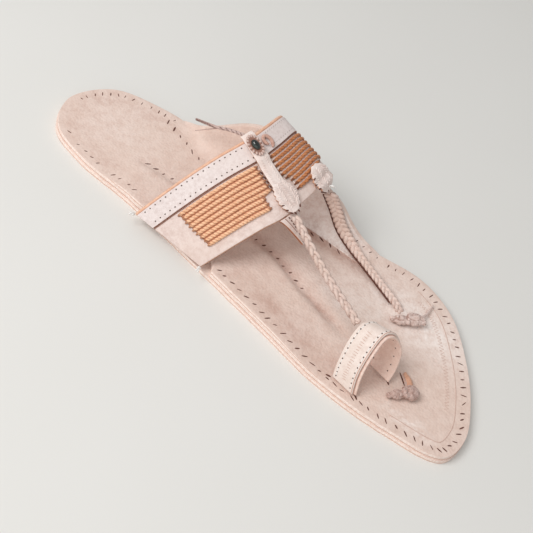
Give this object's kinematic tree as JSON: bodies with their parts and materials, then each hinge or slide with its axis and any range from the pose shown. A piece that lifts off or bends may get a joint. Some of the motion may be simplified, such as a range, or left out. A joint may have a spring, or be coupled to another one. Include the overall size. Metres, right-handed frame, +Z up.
{
  "type": "kolhapuri sandal",
  "caption": "Flat open leather sandal with a plaited instep band, flat braids, a wide toe loop and knotted thong ends on a layered leather sole.",
  "frame": {"origin": "on the floor under the middle of the sandal's box", "axes": "+X from heel to toe, +Y to the outer side of the foot, +Z up"},
  "size_m": [0.29, 0.1022, 0.0597],
  "materials": {
    "pale_leather": "undyed smooth leather, pale pinkish beige, matt with a faint sheen",
    "sole_leather": "undyed sole leather with tan cut edges",
    "plait_leather": "orange-tan fine plait",
    "thong_leather": "rough tan thong and ornament leather",
    "stone": "polished dark green-black oval bead"
  },
  "bodies": {
    "root": {"outsole": "sole_leather", "insole": "pale_leather", "ear_outer": "pale_leather", "ear_inner": "pale_leather", "band": "pale_leather", "edge_strip": "pale_leather", "plait_inner": "plait_leather", "plait_outer": "plait_leather", "centre_strap": "pale_leather", "outer_tab": "pale_leather", "rosette": "thong_leather", "stone": "stone", "curl": "thong_leather", "tongue": "pale_leather", "braid_loop": "pale_leather", "braid_outer": "pale_leather", "toe_loop": "pale_leather", "knot_outer": "thong_leather", "knot_front": "thong_leather", "thong_end": "thong_leather"}
  },
  "joints": []
}
